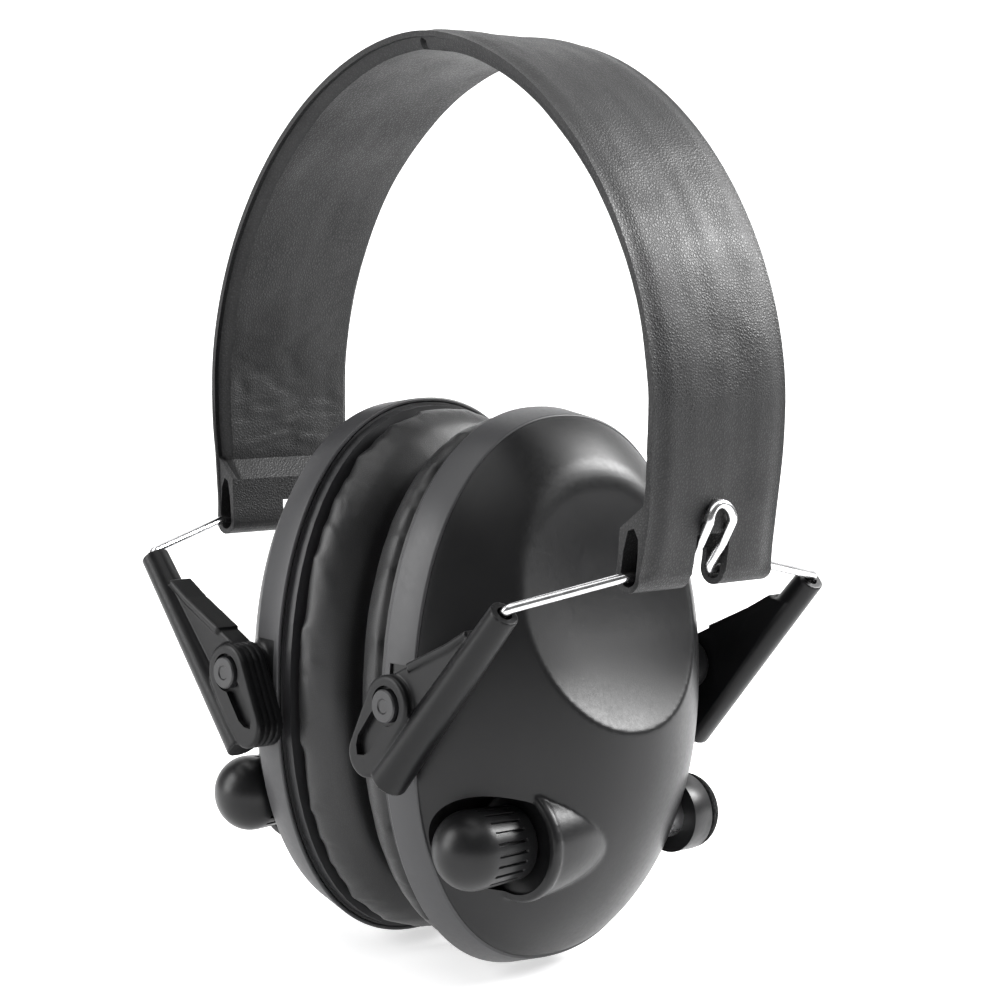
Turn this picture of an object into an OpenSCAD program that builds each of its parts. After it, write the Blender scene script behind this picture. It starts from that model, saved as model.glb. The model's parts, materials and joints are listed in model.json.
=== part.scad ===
// Folding electronic ear defenders: two hinged cups on wire bails under a sprung headband.
// X runs from the left ear to the right ear, Y points forwards, Z points up.
// The origin lies on the line between the two ears, midway between the cups.

/* [Headband] */
// Widest distance across the outside of the band
band_span = 140; // [138:0.5:144]
// Height of the band's top above the ears
band_top = 138; // [130:1:150]
// Height at which the band is widest
band_waist = 62; // [56:1:68]
// Width of the band from front to back
band_w = 39; // [34:1:42]
// Thickness of the covered band
band_t = 4.6; // [4:0.1:5.5]
// How pointed the arch is, 2 being an ellipse
band_power = 1.85; // [1.7:0.05:2.1]
// Distance of the band's bend line from its middle
bend_x = 20; // [16:1:26]
// Width of the spring steel strip
strip_w = 22; // [16:1:26]
// Thickness of the spring steel strip
strip_t = 1; // [0.6:0.1:1.2]

/* [Hem and wire] */
// Distance of the hem's centre line from the middle
hem_x = 63.7; // [62:0.1:65]
// Height of the hem's centre line
hem_z = 29.5; // [28:0.1:31]
// Outer radius of the hem's roll
hem_r = 3.2; // [3:0.1:3.6]
// Width of the notch that the wire's hook passes through
notch_w = 10; // [9:0.5:12]
// Diameter of the bail wire
wire_d = 2; // [1.8:0.1:2.2]
// Distance of the wire's legs from the middle plane
leg_y = 45; // [44.8:0.1:45.6]
// Distance of the wire's elbow from the middle
elbow_x = 56.8; // [56:0.1:58]
// Height of the wire's elbow
elbow_z = 24.6; // [24:0.1:25.5]
// Slope of the wire's legs below level
leg_slope = 48.9; // [48:0.1:50]
// Length of the wire's legs
leg_len = 44; // [36:1:46]

/* [Arms] */
// Length of each arm's tube
arm_len = 51; // [48:1:52]
// Height of the pivots above the origin
pivot_z = 2; // [0:0.5:4]
// Distance of the pivots from the middle
pivot_x = 25.8; // [25:0.1:27]
// Diameter of the pivot pins
pivot_d = 5; // [4:0.5:6]
// Diameter of the pins' flat heads
pivot_head_d = 7; // [6.5:0.1:8]

/* [Cups] */
// Half the width of a cup from front to back
cup_half_w = 41; // [40:0.1:41.2]
// Half the height of a cup
cup_half_h = 59.2; // [56:0.1:61]
// Squareness of a cup's outline, 2 being an ellipse
cup_power = 2.2; // [2:0.05:2.4]
// Distance from the middle to the rim's inner edge
rim_in = 17.1; // [17:0.1:18]
// Distance from the middle to the rim's outer edge
rim_out = 25.6; // [25:0.1:26.5]
// Height of the shell's dome beyond the rim
dome_h = 25; // [22:0.5:27]
// Thickness of the shell's wall
wall = 2.2; // [1.8:0.1:2.6]
// Radius of the ball that scoops out the upper half of the shell
dish_r = 84; // [82:0.5:85]

/* [Cushions] */
// Gap between the middle plane and a cushion's face
cushion_gap = 2.2; // [1.6:0.1:3]
// Half the width of the opening for the ear
ear_half_w = 21; // [18:0.5:23]
// Half the height of the opening for the ear
ear_half_h = 35; // [30:0.5:38]

/* [Electronics] */
// Radius of the volume knob
knob_r = 8.2; // [7.5:0.1:8.6]
// Diameter of a battery cell
cell_d = 10.5; // [10:0.1:10.6]
// Length of a battery cell
cell_len = 44.5; // [44:0.1:45]
// Radius of the microphone's boss
mic_r = 8.4; // [7.5:0.1:8.6]
// Diameter of the speaker
speaker_d = 40; // [30:1:42]

/* [Hidden] */
$fn = 48;
SIDES = ["right", "left"];

// Clearance round the pins and wires
run = 0.05;
// The wire's leg points down and inwards
leg_dir = [-cos(leg_slope), 0, -sin(leg_slope)];
elbow = [elbow_x, leg_y, elbow_z];
// The knob, the microphone and the pocket in the shell
knob_at = [35.7, -34.5, -27.4];
knob_len = 12;
shaft_r = 2.2;
ribs = 22;
rib_len = 8.3;
rib_depth = 0.7;
rib_gap = 0.6;
pocket_r = 10.6;
pocket_end = -21.5;
mic_at = [32.1, 30.7, -29];
// The scooping ball's middle, as X and Z, and how much it is flattened across Y
dish_mid = [119.9, 41.7];
dish_flat = 0.454;
// Where the dome starts, as a share of the rim's outline
dome_base = 0.965;
// The gap in the rim behind each arm, from its lowest to its highest point
rim_gap = [-11, 9];
// Screw positions up and down the cup
screw_z = 49;
// Height of the hem's notch above the hem's centre line, inside and outside the band
notch_rise = [4, 6.5];
// The seam's wedge between the roll and the band, ending this far above the roll's middle
wedge_h = 10;

// ---- Helpers ----

function sign_of(v) = v < 0 ? -1 : 1;
function power_of(v, n) = sign_of(v) * pow(abs(v), n);

// A point on the cup's outline, at an angle, for given half sizes
function outline(angle, half_w, half_h) = [half_w * power_of(cos(angle), 2 / cup_power),
    half_h * power_of(sin(angle), 2 / cup_power)];

// A rod between two points
module rod(a, b, d) {
    v = b - a;
    length = norm(v);
    translate(a) rotate([0, acos(v.z / length), atan2(v.y, v.x)]) cylinder(d = d, h = length);
}

// A cylinder along Y, from one Y to another
module along_y(x, z, y0, y1, r, r_end = -1) {
    translate([x, y0, z]) rotate([-90, 0, 0])
        cylinder(r1 = r, r2 = r_end < 0 ? r : r_end, h = y1 - y0);
}

// A cylinder along X, from one X to another
module along_x(x0, x1, y, z, r) {
    translate([x0, y, z]) rotate([0, 90, 0]) cylinder(r = r, h = x1 - x0);
}

// A plate with the cup's outline, standing across X
module cup_plate(x0, x1, half_w, half_h, steps = 64) {
    translate([x0, 0, 0]) rotate([90, 0, 90]) linear_extrude(x1 - x0)
        polygon([for (i = [0:steps - 1]) outline(360 * i / steps, half_w, half_h)]);
}

// ---- Headband ----

// A point on the band's centre arch. 0 is the top and 90 is the waist.
function arch(angle, inset) = [(band_span / 2 - inset) * pow(abs(sin(angle)), 2 / band_power),
    band_waist + (band_top - band_waist - inset) * pow(abs(cos(angle)), 2 / band_power)];

// The side runs from the waist down to the hem, on an arc
function leg(t, inset) = let(drop = band_waist - hem_z, lean = band_span / 2 - hem_x - hem_r)
    [band_span / 2 - inset - lean * t * t, band_waist - drop * t];

function arch_half(inset, from_x, steps = 26) = [for (i = [0:steps])
    let(p = arch(90 * i / steps, inset)) if (p.x > from_x) p];
function leg_half(inset, steps = 8) = [for (i = [1:steps]) leg(i / steps, inset)];

// The right half of the band between two insets from its outside, down to its hem
module band_side(outer, inner, w) {
    path_out = concat(arch_half(outer, bend_x), leg_half(outer));
    path_in = concat(arch_half(inner, bend_x), leg_half(inner));
    start_out = [bend_x, height_at(bend_x, outer)];
    start_in = [bend_x, height_at(bend_x, inner)];
    back = [for (i = [len(path_in) - 1:-1:0]) path_in[i]];
    rotate([90, 0, 0]) linear_extrude(w, center = true)
        polygon(concat([start_out], path_out, back, [start_in]));
}

// The arch's height over a given distance from the middle
function height_at(x, inset) = band_waist + (band_top - band_waist - inset)
    * pow(1 - pow(x / (band_span / 2 - inset), band_power), 1 / band_power);

// The middle of the band, which spans the bend lines
module band_crown(outer, inner, w, steps = 10) {
    top = [for (i = [-steps:steps]) let(x = i * bend_x / steps) [x, height_at(abs(x), outer)]];
    under = [for (i = [steps:-1:-steps]) let(x = i * bend_x / steps) [x, height_at(abs(x), inner)]];
    rotate([90, 0, 0]) linear_extrude(w, center = true) polygon(concat(top, under));
}

// Insets of the strip's pocket and of the pad under the strip
strip_in = 1.2;
pad_in = strip_in + strip_t + 0.1;

module band_cover_crown() {
    color([0.12, 0.12, 0.13]) difference() {
        band_crown(0, band_t, band_w);
        band_crown(strip_in, band_t - 1, band_w - 4);
    }
}

module spring_strip_crown() {
    color([0.6, 0.6, 0.62]) band_crown(strip_in + 0.1, strip_in + strip_t, strip_w);
}

module band_pad_crown() {
    color([0.3, 0.3, 0.3]) band_crown(pad_in + 0.1, band_t - 1.1, band_w - 4.4);
}

module band_cover_side() {
    color([0.12, 0.12, 0.13]) difference() {
        union() {
            band_side(0, band_t, band_w);
            along_y(hem_x, hem_z, -band_w / 2, band_w / 2, hem_r);
            rotate([90, 0, 0]) linear_extrude(band_w - 0.1, center = true)
                polygon([[hem_x - hem_r + 0.1, hem_z], [hem_x - hem_r + 0.1, hem_z + 3],
                    [hem_x - 0.6, hem_z + wedge_h - 0.5], [hem_x + 1, hem_z + wedge_h],
                    [hem_x + 2, hem_z]]);
        }
        intersection() {
            band_side(strip_in, band_t - 1, band_w - 4);
            translate([0, -band_w / 2, hem_z + wedge_h]) cube([100, band_w, 200]);
        }
        along_y(hem_x, hem_z, -band_w, band_w, wire_d / 2 + run);
        translate([hem_x - 10, -notch_w / 2, hem_z - 10]) cube([20, notch_w, 10 + notch_rise[0]]);
        translate([hem_x + 1.3, -notch_w / 2, hem_z]) cube([10, notch_w, notch_rise[1]]);
    }
}

module spring_strip_side() {
    color([0.6, 0.6, 0.62]) intersection() {
        band_side(strip_in + 0.1, strip_in + strip_t, strip_w);
        translate([0, -band_w / 2, hem_z + wedge_h + 1]) cube([100, band_w, 200]);
    }
}

module band_pad_side() {
    color([0.3, 0.3, 0.3]) intersection() {
        band_side(pad_in + 0.1, band_t - 1.1, band_w - 4.4);
        translate([0, -band_w / 2, hem_z + wedge_h + 1]) cube([100, band_w, 200]);
    }
}

// ---- Bail wire ----

// The hook stands over the outside of the hem: half its width, its foot and its top
hook_half = 3.4;
hook_foot = [69.1, 34.6];
hook_top = [70.4, 39.8];
// The wire is a little fatter where it bends
bend_swell = 0.14;

module bail() {
    leg_end = elbow + leg_len * leg_dir;
    inner = [hem_x, hook_half, hem_z];
    foot = [hook_foot.x, hook_half, hook_foot.y];
    top = [hook_top.x, hook_half, hook_top.y];
    outer = [hem_x, band_w / 2 + 1.5, hem_z];
    color([0.8, 0.8, 0.82]) for (side = [-1, 1]) mirror([0, side < 0 ? 1 : 0, 0]) {
        route = [leg_end, elbow, outer, inner, foot, top];
        for (i = [0:len(route) - 2]) rod(route[i], route[i + 1], wire_d);
        for (i = [1:len(route) - 1]) translate(route[i]) sphere(d = wire_d + bend_swell);
    }
    color([0.8, 0.8, 0.82]) translate([hook_top.x, 0, hook_top.y])
        rotate([90, 0, 90]) rotate_extrude(angle = 180) translate([hook_half, 0]) circle(d = wire_d);
}

// ---- Arms and pins ----

arm_in = cup_half_w + 0.7;
arm_out = 48.4;
// The boss reaches down from the pivot to a second, smaller round
boss_r = 6.2;
boss_foot = [-6.3, -10.5];
boss_foot_r = 5;

// An arm: a tube for the wire's leg, a boss for the pivot pin and a web between them
module arm() {
    foot = [elbow.x, 0, elbow.z] + arm_len * leg_dir;
    tip = [elbow.x, 0, elbow.z] + 1.2 * leg_dir;
    color([0.14, 0.14, 0.15]) difference() {
        union() {
            intersection() {
                rotate_leg(elbow.z, 1.2) cylinder(r1 = 3, r2 = 4, h = arm_len);
                translate([0, arm_in, -60]) cube([90, 20, 120]);
            }
            along_y(pivot_x, pivot_z, arm_in, arm_out, boss_r);
            along_y(pivot_x + boss_foot.x, pivot_z + boss_foot.y, arm_in, arm_out, boss_foot_r);
            rotate([90, 0, 0]) translate([pivot_x, pivot_z, -arm_out])
                linear_extrude(arm_out - arm_in) polygon(boss_sides());
            rotate([90, 0, 0]) translate([0, 0, -leg_y - 1.6]) linear_extrude(4.4)
                polygon([[pivot_x - 2, pivot_z + 5.6], [pivot_x + 4.5, pivot_z + 8.4],
                    [tip.x - 14.2, tip.z - 8], [tip.x - 8.6, tip.z - 4.6], [tip.x - 3, tip.z - 5],
                    [foot.x + 2, foot.z + 4], [pivot_x - 5, pivot_z - 2]]);
        }
        rotate_leg(elbow.z, 0) cylinder(d = wire_d + 2 * run, h = leg_len + 3);
        along_y(pivot_x, pivot_z, arm_in - 5, arm_out + 5, pivot_d / 2 + run);
    }
}

// The straight sides between the boss's two rounds, a little inside them
function boss_sides() = let(along = boss_foot / norm(boss_foot), across = [along.y, -along.x],
    top = (boss_r - 0.3) * across, low = (boss_foot_r - 0.3) * across)
    [top, -top, boss_foot - low, boss_foot + low];

// Places a thing that stands on Z along the wire's leg, starting a little below its elbow
module rotate_leg(z, start) {
    translate([elbow.x, leg_y, z] + start * leg_dir) rotate([0, 270 - leg_slope, 0]) children();
}

// A pivot pin with a flat head, which turns in its arm and in the cup
module pin() {
    color([0.16, 0.16, 0.17]) {
        along_y(pivot_x, pivot_z, cup_half_w - 8, arm_out + 0.4, pivot_d / 2);
        along_y(pivot_x, pivot_z, arm_out + 0.3, arm_out + 1.6, pivot_head_d / 2);
    }
}

// ---- Cup shell ----

// Height of the dome at a share of the way from its centre to its rim
function dome(share) = dome_h * pow(max(0, 1 - pow(share / dome_base, 2.1)), 0.85);

// How far from the middle the scooping ball comes at a place on the dome
function scoop(y, z) = dish_mid.x
    - sqrt(max(0, dish_r * dish_r - dish_flat * y * y - pow(z - dish_mid.y, 2)));

// A closed dome with the cup's outline: a straight skirt from x0, then rings up to the middle
module dome_solid(x0, inset, steps = 48) {
    shares = [dome_base, 0.94, 0.9, 0.85, 0.79, 0.72, 0.64, 0.56, 0.48, 0.4, 0.32, 0.24, 0.14];
    ring = function(share, height) [for (i = [0:steps - 1])
        let(p = outline(360 * i / steps, share * (cup_half_w - inset), share * (cup_half_h - inset)))
            [min(height, scoop(p[0], p[1]) - inset), p[0], p[1]]];
    foot = rim_out - 0.2;
    skirt = concat(ring(1, x0), ring(1, foot - inset));
    levels = [for (s = shares) each ring(s, foot + dome(s) - inset * (1 - s * s))];
    peak = [min(foot + dome(0), scoop(0, 0)) - inset, 0, 0];
    points = concat(skirt, levels, [peak]);
    rows = len(shares) + 2;
    sides = [for (r = [0:rows - 2], i = [0:steps - 1])
        let(a = r * steps + i, b = r * steps + (i + 1) % steps)
            each [[a, b + steps, b], [a, a + steps, b + steps]]];
    cap = [for (i = [0:steps - 1])
        [(rows - 1) * steps + i, len(points) - 1, (rows - 1) * steps + (i + 1) % steps]];
    polyhedron(points, concat([[for (i = [0:steps - 1]) i]], sides, cap), convexity = 6);
}

shell_back = rim_in + 1.5;

module cup_shell() {
    color([0.2, 0.2, 0.21]) difference() {
        union() {
            dome_solid(shell_back, 0);
            along_y(mic_at.x, mic_at.z, 12, mic_at.y, mic_r);
            for (side = [-1, 1]) mirror([0, side < 0 ? 1 : 0, 0])
                along_y(pivot_x, pivot_z, cup_half_w - 6, cup_half_w + 0.2, boss_r - 0.6);
        }
        difference() {
            dome_solid(shell_back - 1, wall);
            // The knob's pocket, the pivots' bosses and the screw posts stay solid
            along_y(knob_at.x + 0.8, knob_at.z, -60, pocket_end + wall, pocket_r + wall);
            for (side = [-1, 1]) mirror([0, side < 0 ? 1 : 0, 0])
                along_y(pivot_x, pivot_z, cup_half_w - 8, cup_half_w, 4.8);
            for (side = [-1, 1]) along_x(shell_back + 4, 45, 0, side * screw_z, 3.4);
            along_y(mic_at.x, mic_at.z, 10, mic_at.y + 1, mic_r + 1.8);
        }
        along_y(knob_at.x + 0.8, knob_at.z, -60, pocket_end, pocket_r);
        along_y(knob_at.x, knob_at.z, pocket_end - 1, pocket_end + wall + 5, shaft_r + 2 * run);
        along_y(mic_at.x, mic_at.z, 9, mic_at.y + 1, 5.1);
        along_y(mic_at.x + 0.4, mic_at.z, mic_at.y, 60, mic_r + 0.7);
        for (side = [-1, 1]) mirror([0, side < 0 ? 1 : 0, 0])
            along_y(pivot_x, pivot_z, 20, 60, pivot_d / 2 + run);
        for (side = [-1, 1]) along_x(10, 30, 0, side * screw_z, 1.3);
    }
}

// The smooth band around the cup's edge, notched where the pins pass
module cup_rim() {
    color([0.3, 0.3, 0.31]) difference() {
        cup_plate(rim_in, rim_out - 0.3, cup_half_w + 0.4, cup_half_h + 0.5);
        cup_plate(rim_in - 1, rim_out + 1, cup_half_w + 0.05, cup_half_h + 0.05);
        translate([rim_in + 1.5, -60, rim_gap[0]]) cube([20, 120, rim_gap[1] - rim_gap[0]]);
    }
}

// ---- Inside the cup ----

module cushion_plate() {
    color([0.13, 0.13, 0.14]) difference() {
        cup_plate(rim_in - 2.4, rim_in, cup_half_w - 1.2, cup_half_h - 1.2);
        cup_plate(rim_in - 3, rim_in + 1, ear_half_w + 2, ear_half_h + 2);
        for (side = [-1, 1]) {
            along_x(0, 30, 0, side * screw_z, 1.6);
            along_x(0, rim_in - 0.9, 0, side * screw_z, 2.6);
        }
    }
}

module ear_cushion() {
    back = rim_in - 2.4;
    color([0.1, 0.1, 0.11]) difference() {
        union() {
            cup_plate(cushion_gap + 3, back, cup_half_w - 2.4, cup_half_h - 2.4);
            cup_plate(cushion_gap + 1.2, cushion_gap + 3, cup_half_w - 3.4, cup_half_h - 3.4);
            cup_plate(cushion_gap, cushion_gap + 1.2, cup_half_w - 5.6, cup_half_h - 5.6);
        }
        cup_plate(0, back + 1, ear_half_w, ear_half_h);
    }
}

module baffle() {
    color([0.15, 0.15, 0.16]) difference() {
        cup_plate(rim_in, rim_in + 1.4, cup_half_w - 0.6, cup_half_h - 0.6);
        along_x(rim_in - 1, rim_in + 2, 0, 0, speaker_d / 2 - 3);
        for (side = [-1, 1]) along_x(0, 30, 0, side * screw_z, 1.6);
    }
}

module foam_liner() {
    color([0.25, 0.25, 0.25]) difference() {
        cup_plate(rim_in - 2.2, rim_in, ear_half_w + 1.6, ear_half_h + 1.6);
        along_x(0, 30, 0, 0, 4);
    }
}

module speaker() {
    color([0.2, 0.2, 0.22]) {
        along_x(rim_in + 1.4, rim_in + 5, 0, 0, speaker_d / 2);
        along_x(rim_in + 4.9, rim_in + 6.1, 0, 0, speaker_d / 4);
    }
}

module circuit_board() {
    color([0.1, 0.3, 0.15]) difference() {
        translate([28.4, -11, -42]) cube([1.6, 20, 36]);
        along_x(20, 40, 0, -24, 1.5);
    }
}

// The two cells' distance from the middle plane, and their heights
cell_x = 30.6;
cell_z = [6, 18];

module battery_holder() {
    color([0.16, 0.16, 0.17]) difference() {
        translate([cell_x - cell_d / 2 - 2, -cell_len / 2 - 2, cell_z[0] - cell_d / 2 - 2])
            cube([cell_d / 2 + 2, cell_len + 4, cell_z[1] - cell_z[0] + cell_d + 4]);
        for (z = cell_z) along_y(cell_x, z, -cell_len / 2 - 0.1, cell_len / 2 + 0.1, cell_d / 2 + 0.1);
    }
}

module battery_cells() {
    color([0.7, 0.55, 0.3]) for (z = cell_z) {
        along_y(cell_x, z, -cell_len / 2, cell_len / 2 - 1, cell_d / 2);
        along_y(cell_x, z, cell_len / 2 - 1.1, cell_len / 2, cell_d / 4);
    }
}

module volume_control() {
    color([0.25, 0.25, 0.3]) difference() {
        along_y(knob_at.x - 1.7, knob_at.z, pocket_end + wall, pocket_end + wall + 7, 4.3);
        along_y(knob_at.x, knob_at.z, pocket_end, pocket_end + wall + 5.6, shaft_r + run);
    }
}

// The knob and its shaft: a domed, ribbed cap on a spindle
module volume_knob() {
    back = pocket_end - 0.5;
    front = back - knob_len;
    color([0.16, 0.16, 0.17]) {
        difference() {
            along_y(knob_at.x, knob_at.z, front, back, knob_r, knob_r - 0.6);
            for (i = [0:ribs - 1]) translate([knob_at.x, 0, knob_at.z]) rotate([0, 360 * i / ribs, 0])
                translate([knob_r - rib_depth, front + 0.7, -rib_gap / 2]) cube([2, rib_len, rib_gap]);
        }
        translate([knob_at.x, front + 0.01, knob_at.z]) rotate([90, 0, 0]) knob_dome();
        along_y(knob_at.x, knob_at.z, back - 0.1, pocket_end + wall + 5.4, shaft_r);
    }
}

// The knob's rounded end, nearly half a ball
module knob_dome() {
    cap_h = 7.3;
    ball = (knob_r * knob_r + cap_h * cap_h) / (2 * cap_h);
    intersection() {
        translate([0, 0, cap_h - ball]) sphere(r = ball);
        cylinder(r = knob_r - 0.01, h = cap_h + 1);
    }
}

module microphone() {
    color([0.5, 0.5, 0.52]) along_y(mic_at.x, mic_at.z, mic_at.y - 8, mic_at.y - 1.5, 4.9);
}

module mic_foam() {
    color([0.07, 0.07, 0.08]) translate([mic_at.x, mic_at.y + 0.1, mic_at.z]) intersection() {
        sphere(r = mic_r + 0.1);
        translate([-20, 0, -20]) cube(40);
    }
}

module cup_screws() {
    color([0.5, 0.5, 0.52]) for (side = [-1, 1]) {
        along_x(rim_in - 1, rim_in + 8, 0, side * screw_z, 1.2);
        along_x(rim_in - 2.3, rim_in - 0.9, 0, side * screw_z, 2.4);
    }
}

// ---- Both sides ----

// Draws a right-hand piece on the given side
module on(side) {
    mirror([side == "left" ? 1 : 0, 0, 0]) children();
}

// Draws a rear piece on the other side of the pivots
module at_front(front) {
    mirror([0, front ? 0 : 1, 0]) children();
}

band_cover_crown();  // band_cover
spring_strip_crown();  // spring_strip
band_pad_crown();  // band_pad

for (side = SIDES) {
    on(side) band_cover_side();
    on(side) spring_strip_side();
    on(side) band_pad_side();
    on(side) bail();
    on(side) at_front(true) arm();
    on(side) at_front(false) arm();
    on(side) at_front(true) pin();
    on(side) at_front(false) pin();
    on(side) cup_shell();
    on(side) cup_rim();
    on(side) cushion_plate();
    on(side) ear_cushion();
    on(side) foam_liner();
    on(side) baffle();
    on(side) speaker();
    on(side) circuit_board();
    on(side) battery_holder();
    on(side) battery_cells();
    on(side) volume_control();
    on(side) volume_knob();
    on(side) microphone();
    on(side) mic_foam();
    on(side) cup_screws();
}
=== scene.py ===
import json
import math

import bmesh
import bpy
import numpy as np
from mathutils import Matrix, Vector, noise


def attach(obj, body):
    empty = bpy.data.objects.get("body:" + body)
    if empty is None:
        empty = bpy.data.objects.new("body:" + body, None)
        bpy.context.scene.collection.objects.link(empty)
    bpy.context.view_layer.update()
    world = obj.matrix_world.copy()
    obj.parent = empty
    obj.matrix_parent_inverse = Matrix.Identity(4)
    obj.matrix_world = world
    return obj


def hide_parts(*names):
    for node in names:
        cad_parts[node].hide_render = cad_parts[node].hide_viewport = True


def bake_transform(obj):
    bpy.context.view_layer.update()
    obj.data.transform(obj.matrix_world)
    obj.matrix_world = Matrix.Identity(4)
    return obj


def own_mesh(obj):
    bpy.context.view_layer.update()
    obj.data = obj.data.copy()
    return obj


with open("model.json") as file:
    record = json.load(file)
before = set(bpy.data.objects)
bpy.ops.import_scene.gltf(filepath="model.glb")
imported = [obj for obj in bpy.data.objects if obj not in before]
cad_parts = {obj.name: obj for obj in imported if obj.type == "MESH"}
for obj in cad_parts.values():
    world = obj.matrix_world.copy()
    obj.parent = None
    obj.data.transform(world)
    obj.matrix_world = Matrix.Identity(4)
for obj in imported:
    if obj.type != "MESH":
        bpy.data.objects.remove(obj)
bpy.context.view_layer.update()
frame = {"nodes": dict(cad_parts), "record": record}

# Lengths below are in millimetres, and METRE turns them into Blender's metres.
METRE = 0.001

# ---- Driving sizes, which repeat the CAD model's ----

BAND_SPAN, BAND_TOP, BAND_WAIST, BAND_POWER = 140.0, 138.0, 62.0, 1.85
BAND_W = 39.0
HEM_X, HEM_Z, HEM_R = 63.7, 29.5, 3.2
NOTCH_W = 10.0
WIRE_D = 2.0
ELBOW = (56.8, 45.0, 24.6)
LEG_SLOPE = math.radians(48.9)
LEG_LEN, ARM_LEN = 44.0, 51.0
PIVOT_X, PIVOT_Z = 25.8, 2.0
CUP_W, CUP_H, CUP_POWER = 41.0, 59.2, 2.2
RIM_IN, RIM_OUT = 17.1, 25.6
DOME_H = 25.0
CUSHION_FACE, CUSHION_BACK = 2.2, 14.7
EAR_W, EAR_H = 21.0, 35.0
KNOB = (35.7, -27.4)
POCKET_R, POCKET_END = 10.6, -21.5
KNOB_R, KNOB_BACK, KNOB_LEN, KNOB_CROWN, SHAFT_R = 8.2, -22.0, 12.0, 7.3, 2.2
MIC, MIC_R, MIC_EDGE = (32.1, 30.7, -29.0), 8.4, 33.4
ARM_IN, ARM_OUT = 41.7, 48.4
BOSS_R, BOSS_FOOT, BOSS_FOOT_R = 6.2, (19.5, -8.5), 5.0
LEG_DIR = Vector((-math.cos(LEG_SLOPE), 0, -math.sin(LEG_SLOPE)))


# ---- Mesh helpers ----

def make_object(name, verts, faces, smooth=True):
    """A mesh object from points in millimetres."""
    mesh = bpy.data.meshes.new(name)
    mesh.from_pydata([tuple(c * METRE for c in v) for v in verts], [], faces)
    mesh.update()
    obj = bpy.data.objects.new(name, mesh)
    bpy.context.scene.collection.objects.link(obj)
    fix_normals(obj)
    if smooth:
        mesh.shade_smooth()
    return obj


def fix_normals(obj):
    bm = bmesh.new()
    bm.from_mesh(obj.data)
    bmesh.ops.recalc_face_normals(bm, faces=bm.faces)
    bm.to_mesh(obj.data)
    bm.free()


def loft(name, rings, cap_start=True, cap_end=True, smooth=True):
    """A closed skin over rings of points, each with the same number of points."""
    count = len(rings[0])
    verts = [p for ring in rings for p in ring]
    faces = []
    for r in range(len(rings) - 1):
        for i in range(count):
            j = (i + 1) % count
            a, b = r * count, (r + 1) * count
            faces.append((a + i, a + j, b + j, b + i))
    if cap_start:
        faces.append(tuple(reversed(range(count))))
    if cap_end:
        faces.append(tuple(range(len(verts) - count, len(verts))))
    return make_object(name, verts, faces, smooth)


def torus_loft(name, rings):
    """As loft, with the last ring joined to the first one."""
    count, rows = len(rings[0]), len(rings)
    verts = [p for ring in rings for p in ring]
    faces = []
    for r in range(rows):
        for i in range(count):
            j, a, b = (i + 1) % count, r * count, (r + 1) % rows * count
            faces.append((a + i, a + j, b + j, b + i))
    return make_object(name, verts, faces)


def filleted(points, radius, steps=8):
    """The polyline's points with each inner corner rounded."""
    points = [Vector(p) for p in points]
    out = [points[0]]
    for before, corner, after in zip(points, points[1:], points[2:]):
        a, b = (before - corner), (after - corner)
        half = a.angle(b) / 2
        cut = min(radius / math.tan(half), a.length * 0.48, b.length * 0.48)
        p, q = corner + a.normalized() * cut, corner + b.normalized() * cut
        for i in range(steps + 1):
            t = i / steps
            out.append(p * (1 - t) ** 2 + corner * 2 * t * (1 - t) + q * t * t)
    out.append(points[-1])
    return out


def tube(name, path, radius, sides=24):
    """A round tube along a path, with closed and slightly domed ends."""
    path = [Vector(p) for p in path]
    tangents = []
    for i in range(len(path)):
        a, b = path[max(i - 1, 0)], path[min(i + 1, len(path) - 1)]
        tangents.append((b - a).normalized())
    normal = tangents[0].orthogonal().normalized()
    rings = []
    for point, tangent in zip(path, tangents):
        normal = (normal - tangent * normal.dot(tangent)).normalized()
        side = tangent.cross(normal)
        rings.append([point + (normal * math.cos(a) + side * math.sin(a)) * radius
                      for a in [2 * math.pi * k / sides for k in range(sides)]])
    for end, step in ((0, -1), (-1, 1)):
        cap = [path[end] + tangents[end] * step * radius * 0.25 + (p - path[end]) * 0.75
               for p in rings[end]]
        rings.insert(0, cap) if end == 0 else rings.append(cap)
    return loft(name, rings)


def ring_y(x, z, y, radius, sides):
    """A circle of points about an axis along Y."""
    return [(x + radius * math.cos(2 * math.pi * k / sides), y,
             z + radius * math.sin(2 * math.pi * k / sides)) for k in range(sides)]


def lathe_y(name, x, z, profile, sides=64):
    """A solid of revolution about an axis along Y. profile is a list of (y, radius)."""
    return loft(name, [ring_y(x, z, y, max(r, 0.01), sides) for y, r in profile])


def box_object(name, low, high):
    verts = [(x, y, z) for x in (low[0], high[0]) for y in (low[1], high[1]) for z in (low[2], high[2])]
    faces = [(0, 1, 3, 2), (4, 6, 7, 5), (0, 4, 5, 1), (2, 3, 7, 6), (0, 2, 6, 4), (1, 5, 7, 3)]
    return make_object(name, verts, faces, smooth=False)


def prism_y(name, outline, y0, y1):
    """An outline in the X-Z plane, pulled from y0 to y1."""
    return loft(name, [[(x, y0, z) for x, z in outline], [(x, y1, z) for x, z in outline]],
                smooth=False)


def apply_modifiers(obj):
    graph = bpy.context.evaluated_depsgraph_get()
    mesh = bpy.data.meshes.new_from_object(obj.evaluated_get(graph))
    obj.modifiers.clear()
    old = obj.data
    obj.data = mesh
    bpy.data.meshes.remove(old)
    return obj


def combine(obj, other, operation):
    """obj joined with, or cut by, another object, which is used up."""
    mod = obj.modifiers.new("cut", "BOOLEAN")
    mod.object, mod.operation, mod.solver = other, operation, "EXACT"
    apply_modifiers(obj)
    bpy.data.objects.remove(other)
    return obj


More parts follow.
